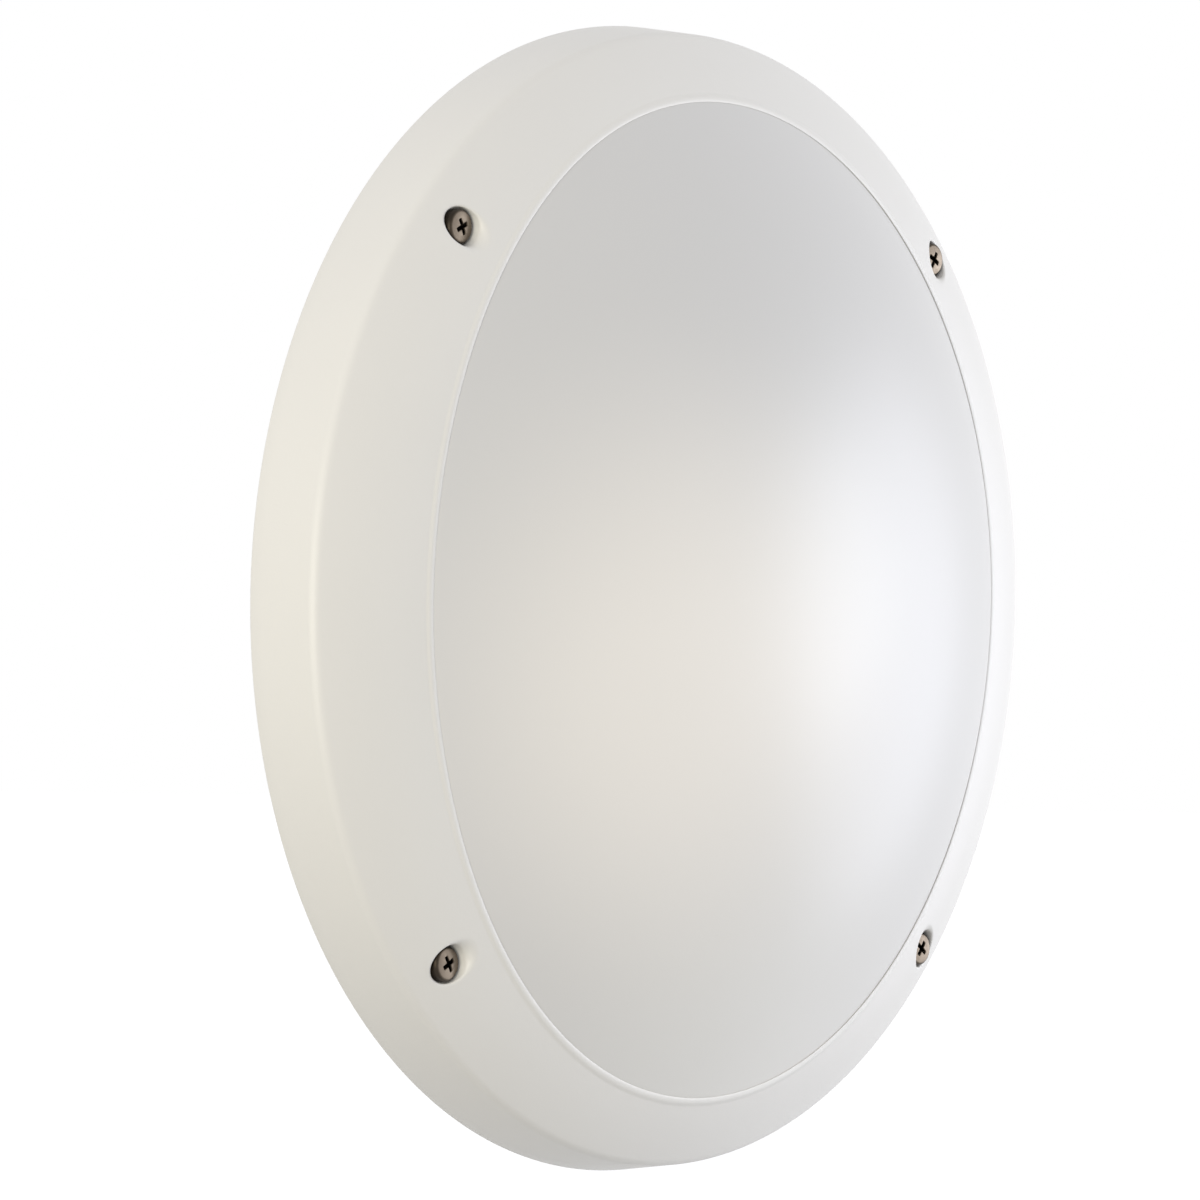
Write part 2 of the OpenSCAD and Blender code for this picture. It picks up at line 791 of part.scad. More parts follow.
module lamp() {
    globe_r = globe_d / 2;
    neck_at = cap_at - collar_l;
    shoulder_at = cap_at + cap_l;
    contact_at = lamp_l - contact_l;
    // The neck's cone leaves the globe where it is tangent to it
    lean = acos((globe_r - collar_d / 2) / (neck_at - globe_r));
    tangent = [globe_r * sin(lean), globe_r + globe_r * cos(lean)];
    color(opal_moulding) facing() on_lamp_axis() rotate_extrude() {
        intersection() {
            translate([0, globe_r]) circle(r = globe_r);
            square([globe_r, lamp_l]);
        }
        polygon([
            [0, globe_r], tangent, [collar_d / 2, neck_at], [collar_d / 2, cap_at], [cap_d / 2, cap_at],
            [cap_d / 2, shoulder_at], [contact_d / 2, contact_at], [contact_d / 2, lamp_l], [0, lamp_l]
        ]);
    }
}

// Leads

// A round tube along a smooth curve through the route's points
function curve_point(p, i, t) =
    let(
        a = p[max(i - 1, 0)],
        b = p[i],
        c = p[i + 1],
        d = p[min(i + 2, len(p) - 1)]
    )
    b + (c - a) * t / 2 + (2 * a - 5 * b + 4 * c - d) * t * t / 2 + (3 * b - a - 3 * c + d) * t * t * t / 2;
function curve(p, steps) = concat(
    [for (i = [0 : len(p) - 2], k = [0 : steps - 1]) curve_point(p, i, k / steps)],
    [p[len(p) - 1]]
);
function unit(v) = v / norm(v);
function heading(p, i) = unit(p[min(i + 1, len(p) - 1)] - p[max(i - 1, 0)]);

module tube(route, d) {
    sides = 8;
    steps = 4;
    path = curve(route, steps);
    rings = len(path);
    // A side direction that no stretch of these routes runs along
    side_hint = [0, 0.3, 1];
    points = [
        for (i = [0 : rings - 1])
            let(
                ahead = heading(path, i),
                side = unit(cross(ahead, side_hint)),
                up = cross(side, ahead)
            )
            for (k = [0 : sides - 1])
                path[i] + (side * cos(k * 360 / sides) + up * sin(k * 360 / sides)) * d / 2
    ];
    walls = [
        for (i = [0 : rings - 2], k = [0 : sides - 1])
            let(
                here = i * sides,
                next = here + sides,
                turn = (k + 1) % sides
            )
            [here + k, here + turn, next + turn, next + k]
    ];
    start = [[for (k = [0 : sides - 1]) sides - 1 - k]];
    end = [[for (k = [0 : sides - 1]) (rings - 1) * sides + k]];
    polyhedron(points, concat(walls, start, end));
}

// Places that the leads start from and end at
function tube_mouth(side) = [block_right + tube_l / 2, wiring_up + side * pole_pitch / 2, tube_z];
function holder_mouth(side) = [plate_x, -lamp_down + side * lead_off, lamp_z];

module live_lead() {
    from = tube_mouth(1);
    to = holder_mouth(1);
    color([0.42, 0.25, 0.14]) facing() tube([
        from - [lead_in, 0, 0],
        from + [2, 0, 0],
        from + [8, 0, 0],
        from + [18, -6, 1],
        from + [24, -20, 3],
        from + [20, -38, 7],
        to + [36, 12, -8],
        to + [26, 3, -2],
        to + [16, 0, 0],
        to + [6, 0, 0],
        to - [lead_in, 0, 0]
    ], lead_d);
}

module neutral_lead() {
    from = tube_mouth(-1);
    to = holder_mouth(-1);
    color([0.20, 0.36, 0.62]) facing() tube([
        from - [lead_in, 0, 0],
        from + [2, 0, 0],
        from + [6, 0, 0],
        from + [12, -6, 0],
        from + [15, -22, 2],
        to + [46, 34, -15],
        to + [42, 16, -9],
        to + [32, 4, -3],
        to + [18, 0, 0],
        to + [6, 0, 0],
        to - [lead_in, 0, 0]
    ], lead_d);
}

base_housing();
bezel();
diffuser();
cover_gasket();
cover_screws();
fixing_seals();
cable_grommet();
cord_clamp();
clamp_screws();
terminal_block();
terminal_tubes();
terminal_screws();
block_screw();
holder_bracket();
bracket_screws();
holder_nut();
lampholder_body();
lampholder_shell();
lampholder_contact();
holder_screws();
lamp();
live_lead();
neutral_lead();
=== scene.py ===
# %% [markdown]
# # A round bulkhead light
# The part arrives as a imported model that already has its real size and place. This lesson dresses it: the
# bezel, the opal dome and the screws are built again with soft edges, and every other piece gets a finish.
# The back lies on the wall at Y = 0, the front faces -Y, and +Z is up. All lengths in Blender are metres.

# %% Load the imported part
import json
import math

import bmesh
import bpy
import numpy as np
from mathutils import Matrix, Vector

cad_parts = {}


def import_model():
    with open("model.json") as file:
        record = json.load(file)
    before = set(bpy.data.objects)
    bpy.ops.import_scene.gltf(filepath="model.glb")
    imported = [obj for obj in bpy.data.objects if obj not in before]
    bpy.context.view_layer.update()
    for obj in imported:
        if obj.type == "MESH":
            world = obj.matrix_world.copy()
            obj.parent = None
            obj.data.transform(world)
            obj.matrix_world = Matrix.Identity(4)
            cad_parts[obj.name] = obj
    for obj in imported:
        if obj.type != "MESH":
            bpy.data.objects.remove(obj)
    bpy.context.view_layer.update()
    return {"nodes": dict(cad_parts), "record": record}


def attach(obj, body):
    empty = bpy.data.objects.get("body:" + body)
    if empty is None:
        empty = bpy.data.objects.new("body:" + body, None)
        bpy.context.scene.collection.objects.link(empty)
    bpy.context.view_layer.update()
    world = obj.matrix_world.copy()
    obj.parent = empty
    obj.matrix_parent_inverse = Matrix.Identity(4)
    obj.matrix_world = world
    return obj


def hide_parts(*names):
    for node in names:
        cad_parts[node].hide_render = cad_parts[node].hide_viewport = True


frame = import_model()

print("nodes in the frame:", len(frame["nodes"]))

# %% [markdown]
# ## Sizes
# These are the sizes that shape the outside of the light, in millimetres. They come from the part's own
# source, but the gap round the dome is nearly closed here, because only a fine line shows. Heights are
# measured out of the wall. The bezel is a turned shape, and its opening is an oval, so most pieces are
# easiest to write as "how far from the axis, how high above the wall".

# %% Sizes of the outside
MM = 0.001
BODY_R = 150.0
FLANK_H, FLANK_LEAN = 19.5, 2.5
CREASE_R = 4.0
CROWN_R, CROWN_SLOPE = 85.0, math.radians(36.0)
WALL = 3.0
RIM_GAP = 0.6
HALF_W, HALF_H = 117.5, 129.5
BEAD_W, BEAD_H = 2.4, 0.3
COLLAR = 2.5
CLAMP_Z, FLANGE_Z = 17.5, 15.0
DOME_TOP, DOME_WALL, DOME_GAP = 68.0, 2.5, 0.02
FLANGE_REACH = 4.0
SCREW_R, SCREW_ANGLE = 136.0, math.radians(43.0)
POCKET_R, SEAT_DEPTH, BOSS_R, HOLE_R = 5.0, 4.2, 7.4, 2.6
HEAD_R, HEAD_H, HEAD_EDGE = 4.6, 3.2, 1.6
SHANK_R, SHANK_L = 2.4, 13.0


def world(x, y, z):
    """Right, up and out of the wall in millimetres, to the frame's metres."""
    return np.stack(np.broadcast_arrays(x, -np.asarray(z, float), y), axis=-1) * MM


print("opening", 2 * HALF_W, "x", 2 * HALF_H, "mm in a body of", 2 * BODY_R, "mm")

# %% [markdown]
# ## The bezel's section
# On the real light the bezel is one injection moulding. Its section has a straight flank that leans in a
# little, a rounded crease, and a crowned face that is an arc of a circle. The rounding has to touch both the
# flank and the arc, so its centre is found first, and the two points where it touches follow from it.

# %% Crown arc and crease rounding
crown_mid = np.array([
    BODY_R - FLANK_LEAN - CROWN_R * math.sin(CROWN_SLOPE),
    FLANK_H - CROWN_R * math.cos(CROWN_SLOPE),
])
flank_foot = np.array([BODY_R, 0.0])
flank_up = np.array([-FLANK_LEAN, FLANK_H]) / math.hypot(FLANK_LEAN, FLANK_H)
flank_in = np.array([-flank_up[1], flank_up[0]])


def crown_height(radius, out=0.0):
    """Height of the crowned face, or of a face that lies a distance out of it."""
    return crown_mid[1] + np.sqrt((CROWN_R + out) ** 2 - (radius - crown_mid[0]) ** 2)


def flank_radius(height, inset=0.0):
    """Distance of the flank from the axis, or of a face that lies some way inside it."""
    return BODY_R - FLANK_LEAN * height / FLANK_H + inset / flank_in[0]


start = flank_foot + flank_in * CREASE_R - crown_mid
run = -start @ flank_up + math.sqrt((start @ flank_up) ** 2 - start @ start + (CROWN_R - CREASE_R) ** 2)
crease_mid = flank_foot + flank_in * CREASE_R + flank_up * run
crease_low = crease_mid - flank_in * CREASE_R
crease_high = crown_mid + (crease_mid - crown_mid) * CROWN_R / (CROWN_R - CREASE_R)
SEAT_Z = float(crown_height(SCREW_R)) - SEAT_DEPTH
print("crease from", crease_low.round(2), "to", crease_high.round(2), "- screw seat at", round(SEAT_Z, 2))

# %% [markdown]
# The inside follows the outside at one wall thickness, as a moulding does. Its corner lies where the inner
# flank meets the inner arc, and a few rounds of putting one into the other find it.

# %% Inner corner
ROUNDS = 40
corner_z = FLANK_H - WALL
for _ in range(ROUNDS):
    corner_z = float(crown_height(flank_radius(corner_z, WALL), -WALL))
corner_r = flank_radius(corner_z, WALL)
print("inner corner at", round(corner_r, 2), round(corner_z, 2))

# %% [markdown]
# ## The bezel's skin
# A lathe can't make this piece, because its outer edge is round and its opening is oval. So the skin is a
# grid: 720 columns round the axis, and rows that walk along the section. A row is either at a fixed radius,
# on the oval, or some way between the two, and its height comes from the crown arc.

# %% Rows of the section
COLUMNS = 720
angle = np.arange(COLUMNS) * 2 * math.pi / COLUMNS
rows = []


def oval(grow):
    """Distance from the axis to the oval opening, grown by some millimetres, in every column."""
    return 1 / np.sqrt((np.cos(angle) / (HALF_W + grow)) ** 2 + (np.sin(angle) / (HALF_H + grow)) ** 2)


def add_row(radius, height):
    """Adds a row from one distance and height, or from one of each for every column."""
    rows.append((np.broadcast_to(radius, COLUMNS), np.broadcast_to(height, COLUMNS)))


# A crown has twenty bands, with narrow ones at both ends that frame the screw pockets
BANDS = np.concatenate([[0, 0.015], np.linspace(0.03, 0.97, 17), [0.985, 1]])
RIM_EDGE = 0.6
RIM_ROWS, FLANK_ROWS, CREASE_ROWS = 5, 6, 12

edge_z = RIM_GAP + RIM_EDGE
edge_r = flank_radius(edge_z) - RIM_EDGE
for turn in np.radians(np.linspace(-90, 0, RIM_ROWS)):
    add_row(edge_r + RIM_EDGE * math.cos(turn), edge_z + RIM_EDGE * math.sin(turn))
for height in np.linspace(edge_z, crease_low[1], FLANK_ROWS)[1:]:
    add_row(flank_radius(height), height)
low_turn, high_turn = [math.atan2(*(p - crease_mid)[::-1]) for p in (crease_low, crease_high)]
for turn in np.linspace(low_turn, high_turn, CREASE_ROWS)[1:-1]:
    add_row(crease_mid[0] + CREASE_R * math.cos(turn), crease_mid[1] + CREASE_R * math.sin(turn))
face_row = len(rows)
for share in BANDS:
    radius = crease_high[0] + (oval(BEAD_W) - crease_high[0]) * share
    add_row(radius, crown_height(radius))
print("rows up to the bead:", len(rows))

# %% [markdown]
# The bead round the opening is what catches the light as a fine bright line. Its outer side rises in a soft
# S from the face, and its inner edge rolls down towards the dome.

# %% Bead, collar and inside
BEAD_RISE, ROLL_W, ROLL_DROP = 1.1, 1.3, 0.3
BEAD_ROWS, ROLL_ROWS = 9, 11
COLLAR_SHARES = (0.01, 0.2, 0.5, 1.0)

for share in np.linspace(0, 1, BEAD_ROWS)[1:]:
    grow = BEAD_W - BEAD_RISE * share
    add_row(oval(grow), crown_height(oval(grow)) + BEAD_H * (0.5 - 0.5 * math.cos(math.pi * share)))
for share in np.linspace(0, 1, ROLL_ROWS)[1:]:
    grow = ROLL_W * (1 - share)
    add_row(oval(grow), crown_height(oval(grow)) + BEAD_H - ROLL_DROP * share**2)
lip = crown_height(oval(0)) + BEAD_H - ROLL_DROP
for share in COLLAR_SHARES:
    add_row(oval(0), lip + (CLAMP_Z - lip) * share)
add_row(oval(COLLAR), CLAMP_Z)
inside_row = len(rows)
for share in BANDS:
    radius = oval(COLLAR) + (corner_r - oval(COLLAR)) * share
    add_row(radius, crown_height(radius, -WALL))
for height in (corner_z / 2, edge_z):
    add_row(flank_radius(height, WALL), height)
add_row(flank_radius(RIM_GAP, WALL) + RIM_EDGE, RIM_GAP)
print("rows in all:", len(rows))

# %% [markdown]
# ## Screw pockets
# Four round pockets are sunk along the axis into the sloping face, so their mouths look like slanted ovals.
# A boolean cut would leave slivers that spoil the shading. Instead a block of 16 by 16 cells is left out of
# the grid on both sides of the wall, and rings lead from the block's edge to the pocket, down its wall,
# through the screw hole and back up round the boss behind the face. Each ring has 64 points. The mouth's edge
# is rounded: least at the sides, more downhill, and most uphill, where the wall is tall.

# %% Pocket rings
# cells along a block's side, and rows between the crown's end and the block
BLOCK, BLOCK_START = 16, 2
MOUTH_SIDE, MOUTH_DOWN, MOUTH_UP = 0.7, 1.1, 2.6
SEAT_EDGE = 0.5
FACE_RINGS, MOUTH_RINGS, BOSS_RINGS = 8, 9, 5

screw_angles = (SCREW_ANGLE, math.pi - SCREW_ANGLE, math.pi + SCREW_ANGLE, -SCREW_ANGLE)
screw_columns = [round(math.degrees(a) * COLUMNS / 360) % COLUMNS for a in screw_angles]


def block_edge(first_row, middle):
    """Grid places (row, column) round a block, in order."""
    low, left = first_row + BLOCK_START, middle - BLOCK // 2
    high, right = low + BLOCK, left + BLOCK
    places = [(low, c) for c in range(left, right)] + [(r, right) for r in range(low, high)]
    places += [(high, c) for c in range(right, left, -1)] + [(r, left) for r in range(high, low, -1)]
    return [(r, c % COLUMNS) for r, c in places]


def pocket_rings(mid, outer, inner):
    """Rings of points from the outer block's edge to the inner one's."""

    def ring(edge, radius, height):
        out = edge - mid
        out /= np.linalg.norm(out, axis=1)[:, None]
        spot = mid + out * radius
        level = height(np.linalg.norm(spot, axis=1)) if callable(height) else np.full(len(spot), height)
        return np.column_stack([spot, level])

    def blend(edge, radius, share, out):
        near = ring(edge, radius, 0.0)[:, :2]
        spot = edge + (near - edge) * share
        return np.column_stack([spot, crown_height(np.linalg.norm(spot, axis=1), out)])

    uphill = (mid - outer) @ mid / np.linalg.norm(mid) / np.linalg.norm(outer - mid, axis=1)
    soft = (MOUTH_SIDE + (np.where(uphill > 0, MOUTH_UP, MOUTH_DOWN) - MOUTH_SIDE) * uphill**2)[:, None]
    rings = [blend(outer, POCKET_R + soft, share, 0.0) for share in np.linspace(0, 1, FACE_RINGS)[1:]]
    for turn in np.radians(np.linspace(0, 90, MOUTH_RINGS))[1:]:
        sink = soft[:, 0] * (1 - math.cos(turn))
        lower = ring(outer, POCKET_R + soft * (1 - math.sin(turn)), crown_height)
        rings.append(lower - np.outer(sink, (0, 0, 1)))
    rings.append(ring(outer, POCKET_R, SEAT_Z + SEAT_EDGE))
    rings.append(ring(outer, POCKET_R - SEAT_EDGE, SEAT_Z))
    rings.append(ring(outer, HOLE_R, SEAT_Z))
    rings.append(ring(inner, HOLE_R, CLAMP_Z))
    rings.append(ring(inner, BOSS_R, CLAMP_Z))
    rings += [blend(inner, BOSS_R, share, -WALL) for share in np.linspace(1, 0, BOSS_RINGS)[:-1]]
    return rings


print("a pocket's block has", len(block_edge(face_row, screw_columns[0])), "edge points")

# %% [markdown]
# Now the mesh is put together. The grid comes first, without its blocks. Its last row joins up with the
# first, so the skin runs all the way round the section.

# %% Bezel grid
bm = bmesh.new()
radius, height = [np.array(part) for part in zip(*rows)]
points = world(radius * np.cos(angle), radius * np.sin(angle), height)
skin = [[bm.verts.new(p) for p in row] for row in points]
left_out = {
    (first + BLOCK_START + down, (middle - BLOCK // 2 + across) % COLUMNS)
    for middle in screw_columns
    for first in (face_row, inside_row)
    for down in range(BLOCK)
    for across in range(BLOCK)
}
for r, row in enumerate(skin):
    above = skin[(r + 1) % len(skin)]
    for c in range(COLUMNS):
        if (r, c) not in left_out:
            d = (c + 1) % COLUMNS
            bm.faces.new((row[c], row[d], above[d], above[c]))
print("grid:", len(bm.faces), "faces")

# %% [markdown]
# A few helpers follow, which the screws and the dome use too. One joins a row of rings with faces. The others
# turn a loose mesh into a piece in the scene. A closed skin lets Blender turn all its faces outwards by
# itself, and edges that turn sharply stay crisp in the shading.

# %% Mesh helpers
CRISP = math.radians(40.0)


def join_rings(bm, rings):
    """Puts faces between each ring of points and the next."""
    for near, far in zip(rings, rings[1:]):
        for k in range(len(near)):
            n = (k + 1) % len(near)
            bm.faces.new((near[k], near[n], far[n], far[k]))


def settle(bm, mesh):
    """Writes a bmesh into a mesh, with outward faces and smooth shading."""
    bmesh.ops.recalc_face_normals(bm, faces=bm.faces)
    bm.to_mesh(mesh)
    bm.free()
    mesh.shade_smooth()
    mesh.set_sharp_from_angle(angle=CRISP)


def new_object(name, data):
    """An object in the scene, at the origin."""
    piece = bpy.data.objects.new(name, data)
    bpy.context.scene.collection.objects.link(piece)
    return piece


print("edges stay crisp from", round(math.degrees(CRISP)), "degrees")

# %% [markdown]
# Each pocket's rings lead from the hole in the face to the hole behind it. The points round both holes are
# sorted by their direction from the screw, so that point meets point. Then the skin is closed.

# %% Bezel pockets
for middle in screw_columns:
    mid = SCREW_R * np.array([math.cos(angle[middle]), math.sin(angle[middle])])
    loops = []
    for first in (face_row, inside_row):
        edge = [((radius[p] * math.cos(angle[p[1]]), radius[p] * math.sin(angle[p[1]])), skin[p[0]][p[1]])
                for p in block_edge(first, middle)]
        edge.sort(key=lambda e: math.atan2(e[0][1] - mid[1], e[0][0] - mid[0]))
        loops.append(edge)
    plans = [np.array([e[0] for e in edge]) for edge in loops]
    chain = [[e[1] for e in loops[0]]]
    chain += [[bm.verts.new(p) for p in world(*ring.T)] for ring in pocket_rings(mid, *plans)]
    chain.append([e[1] for e in loops[1]])
    join_rings(bm, chain)
bmesh.ops.delete(bm, geom=[v for v in bm.verts if not v.link_faces], context="VERTS")
open_edges = sum(len(e.link_faces) != 2 for e in bm.edges)
mesh = bpy.data.meshes.new("crowned_bezel")
settle(bm, mesh)
bezel = new_object("crowned_bezel", mesh)
print("bezel:", len(bezel.data.polygons), "faces,", open_edges, "open edges")

# %% [markdown]
# ## Nodes as sentences
# Blender's shaders and Geometry Nodes are graphs, and wiring them by hand is long to read. Two small classes
# make it short. A Sheet adds any node from its type, its settings and its inputs. A Signal is a value on its
# way between nodes, and arithmetic on it adds Math nodes, so that a rule can be written as a formula.

# %% Sheet and Signal
def pick(sockets, key):
    """A socket by its number, its identifier or its name."""
    if isinstance(key, int):
        return sockets[key]
    return next((s for s in sockets if s.identifier == key), None) or sockets[key]


class Sheet:
    def __init__(self, tree):
        self.tree = tree

    def add(self, kind, settings=None, inputs=None, out=0):
        node = self.tree.nodes.new(kind)
        for key, value in (settings or {}).items():
            setattr(node, key, value)
        for key, value in (inputs or {}).items():
            socket = pick(node.inputs, key)
            if isinstance(value, Signal):
                self.tree.links.new(value.socket, socket)
            else:
                socket.default_value = value
        return Signal(self, pick(node.outputs, out)) if node.outputs else node


class Signal:
    def __init__(self, sheet, socket):
        self.sheet, self.socket = sheet, socket

    def math(self, operation, *values):
        return self.sheet.add("ShaderNodeMath", {"operation": operation}, dict(enumerate(values)))

    def __add__(self, other):
        return self.math("ADD", self, other)

    def __radd__(self, other):
        return self.math("ADD", other, self)

    def __sub__(self, other):
        return self.math("SUBTRACT", self, other)

    def __rsub__(self, other):
        return self.math("SUBTRACT", other, self)

    def __mul__(self, other):
        return self.math("MULTIPLY", self, other)

    def __pow__(self, other):
        return self.math("POWER", self, other)

    def sqrt(self):
        return self.math("SQRT", self)


print("node helpers ready")

# %% [markdown]
# ## Finishes
# Moulded resin is never one flat colour: the melt leaves faint clouds, the tool leaves a fine grain, and both
# change the gloss a little. The grain is a bump of some hundredths of a millimetre, finer than the eye
# counts, but it breaks up reflections the way satin plastic does. One function makes all the plain resins.

# %% Moulded resin
def new_finish(name):
    material = bpy.data.materials.new(name)
    material.use_nodes = True
    material.node_tree.nodes.clear()
    return material, Sheet(material.node_tree)


def coated(sheet, **sockets):
    """Ends a material in a Principled shader."""
    shader = sheet.add("ShaderNodeBsdfPrincipled", None, {k.replace("_", " "): v for k, v in sockets.items()})
    sheet.add("ShaderNodeOutputMaterial", None, {"Surface": shader})


def noise(sheet, scale, detail=2.0, stretch=None):
    """Cloudy values about 0.5, at so many cells a metre on the piece's own coordinates."""
    place = sheet.add("ShaderNodeTexCoord", out="Object")
    if stretch:
        place = sheet.add("ShaderNodeMapping", None, {"Vector": place, "Scale": stretch})
    return sheet.add("ShaderNodeTexNoise", None, {"Vector": place, "Scale": scale, "Detail": detail})


def mixed(sheet, share, low, high):
    """A colour between two, by a share from 0 to 1. Each is three numbers or a signal."""
    low, high = [c if isinstance(c, Signal) else (*c, 1.0) for c in (low, high)]
    colours = {"Factor_Float": share, "A_Color": low, "B_Color": high}
    return sheet.add("ShaderNodeMix", {"data_type": "RGBA"}, colours, out="Result_Color")


def bump(sheet, height, strength, depth):
    """Lets a height ruffle the surface, by so many metres at most."""
    return sheet.add("ShaderNodeBump", None, {"Strength": strength, "Distance": depth, "Height": height})


# cells a metre, and how far each noise moves the roughness
CLOUDS, CLOUD_DETAIL, CLOUD_GLOSS = 18.0, 3.0, 0.10
SPECKS, SPECK_GLOSS = 1500.0, 0.08
GRAIN_STRENGTH, RESIN_GRAIN, RUBBER_GRAIN = 0.35, 0.00004, 0.0001


def moulded(name, shade, light, rough, grain=RESIN_GRAIN):
    """A resin whose colour drifts between two."""
    material, sheet = new_finish(name)
    cloud, speck = noise(sheet, CLOUDS, CLOUD_DETAIL), noise(sheet, SPECKS)
    coated(
        sheet,
        Base_Color=mixed(sheet, cloud, shade, light),
        Roughness=rough + (cloud - 0.5) * CLOUD_GLOSS + (speck - 0.5) * SPECK_GLOSS,
        Normal=bump(sheet, speck, GRAIN_STRENGTH, grain),
    )
    return material


print("clouds and specks a metre:", CLOUDS, SPECKS)

# %% [markdown]
# Each resin has a darker and a lighter colour that its clouds drift between, and a roughness. Rubber has the
# coarsest grain.

# %% Resins
white_resin = moulded("white_resin", (0.790, 0.772, 0.732), (0.820, 0.802, 0.762), 0.42)
nylon = moulded("natural_nylon", (0.66, 0.63, 0.54), (0.74, 0.71, 0.62), 0.45)
thermoset = moulded("thermoset_holder", (0.72, 0.70, 0.66), (0.79, 0.77, 0.73), 0.50)
black_rubber = moulded("black_rubber", (0.018, 0.018, 0.019), (0.034, 0.034, 0.035), 0.72, RUBBER_GRAIN)
brown_wire = moulded("brown_wire", (0.10, 0.040, 0.016), (0.13, 0.055, 0.022), 0.38)
blue_wire = moulded("blue_wire", (0.020, 0.075, 0.26), (0.030, 0.095, 0.31), 0.38)
print("resins made:", len(bpy.data.materials))

# %% [markdown]
# ## Opal resin
# Opal plastic swallows some light and lets the lamp through as a soft warm patch. Real translucency would
# need many light paths, so the patch is written as a rule: it is strongest on the face over the lamp's globe
# and fades evenly with distance, which is how a scattering sheet spreads a lamp. A weaker patch at the foot
# of the dome is light that the white base throws back.

# %% Glow
# the light that comes through away from the lamp, at the foot and right over the lamp
GLOW_FAR, GLOW_FOOT, GLOW_NEAR = (0.122, 0.117, 0.111), (0.190, 0.182, 0.161), (0.313, 0.284, 0.240)
# where the last two are strongest, and how far they reach, in metres
FOOT_SPOT, LAMP_SPOT, GLOW_REACH = (0.001, -0.039, -0.113), (-0.050, -0.061, -0.022), 0.116


def nearness(sheet, spot):
    """1 at a spot, fading evenly to 0 at the glow's reach."""
    place = sheet.add("ShaderNodeTexCoord", out="Object")
    far = sheet.add("ShaderNodeVectorMath", {"operation": "DISTANCE"}, {0: place, 1: spot}, out="Value")
    return sheet.add(
        "ShaderNodeMapRange",
        {"interpolation_type": "SMOOTHERSTEP"},
        {"Value": far, "From Min": GLOW_REACH, "From Max": 0.0, "To Min": 0.0, "To Max": 1.0},
    )


def glow(sheet):
    """The light that comes through the sheet at each place on it."""
    around = mixed(sheet, nearness(sheet, FOOT_SPOT), GLOW_FAR, GLOW_FOOT)
    return mixed(sheet, nearness(sheet, LAMP_SPOT), around, GLOW_NEAR)


print("glow reaches", GLOW_REACH, "m from", LAMP_SPOT, "and", FOOT_SPOT)

# %% [markdown]
# The opal finish is a resin with that glow. Its clouds are wider and its grain is finer. The lamp's own globe
# is opal too.

# %% Opal finish
OPAL_CLOUDS, OPAL_SPECKS, OPAL_GLOSS = 14.0, 1800.0, 0.06
OPAL_STRENGTH, OPAL_GRAIN = 0.30, 0.00003


def opal(name, shade, light, rough):
    material, sheet = new_finish(name)
    cloud, speck = noise(sheet, OPAL_CLOUDS, CLOUD_DETAIL), noise(sheet, OPAL_SPECKS)
    coated(
        sheet,
        Base_Color=mixed(sheet, cloud, shade, light),
        Roughness=rough + (cloud - 0.5) * OPAL_GLOSS + (speck - 0.5) * OPAL_GLOSS,
        Normal=bump(sheet, speck, OPAL_STRENGTH, OPAL_GRAIN),
        Emission_Color=glow(sheet),
        Emission_Strength=1.0,
    )
    return material


opal_resin = opal("opal_resin", (0.512, 0.509, 0.501), (0.536, 0.533, 0.525), 0.36)
lamp_glass = opal("lamp_globe_and_cap", (0.64, 0.62, 0.58), (0.69, 0.67, 0.63), 0.30)
print("finishes so far:", len(bpy.data.materials))

# %% [markdown]
# ## Metals
# Screws and brackets are rolled or headed metal. Fine scratches break up their gloss, and where these run
# one way the noise behind them is stretched. A slower noise lets the colour drift between clean and slightly
# dull. Where a piece notes painted shade on its points, the metal is painted dark there, as the shade that
# falls in its hollows. A piece without that note has no painted shade.

# %% Metal finishes
DRIFTS, DRIFT_DETAIL = 260.0, 3.0
SCRATCHES, SCRATCH_DETAIL, SCRATCH_GLOSS = 900.0, 4.0, 0.25
SCRATCH_STRENGTH, SCRATCH_DEPTH = 0.4, 0.00003
# the share of the dull colour that is left where shade is painted
PAINTED_SHADE_SHARE = 0.12


def metal(name, dull, clean, rough, stretch=(1.0, 1.0, 1.0)):
    """A metal whose colour drifts between two, and is painted a fraction of the dull one where shade is
    painted.
    """
    material, sheet = new_finish(name)
    drift = noise(sheet, DRIFTS, DRIFT_DETAIL)
    scratch = noise(sheet, SCRATCHES, SCRATCH_DETAIL, stretch)
    # painted shade noted on the points darkens the colour, as the shade that falls in hollows
    painted_shade = sheet.add("ShaderNodeAttribute", {"attribute_name": "painted_shade"}, out="Fac")
    dark = [c * PAINTED_SHADE_SHARE for c in dull]
    coated(
        sheet,
        Base_Color=mixed(sheet, painted_shade, mixed(sheet, drift, dull, clean), dark),
        Metallic=1.0,
        Roughness=rough + (scratch - 0.5) * SCRATCH_GLOSS,
        Normal=bump(sheet, scratch, SCRATCH_STRENGTH, SCRATCH_DEPTH),
    )
    return material


dull_stainless = metal("dull_stainless", (0.090, 0.070, 0.054), (0.195, 0.160, 0.122), 0.42)
zinc_plate = metal("zinc_plate", (0.56, 0.57, 0.58), (0.70, 0.71, 0.72), 0.34, (1.0, 6.0, 1.0))
plain_brass = metal("plain_brass", (0.62, 0.45, 0.19), (0.78, 0.60, 0.30), 0.32, (6.0, 1.0, 1.0))
print("finishes in all:", len(bpy.data.materials))

# %% [markdown]
# ## The opal dome
# The dome bulges out of the oval with one radius across and another up and down. That is a rule, so Geometry
# Nodes build it. The object starts as a bare section: a string of points, each with four numbers on it. They
# say what share of the oval it reaches, how much is added to that, its height, and whether that height is
# measured from the dome or from the wall. A circle sweeps the string round, and one formula puts every point
# in place.

# %% Section of the dome
def arc_radius(half, rise):
    """Radius of an arc from half its width and its rise."""
    return (half * half + rise * rise) / (2 * rise)


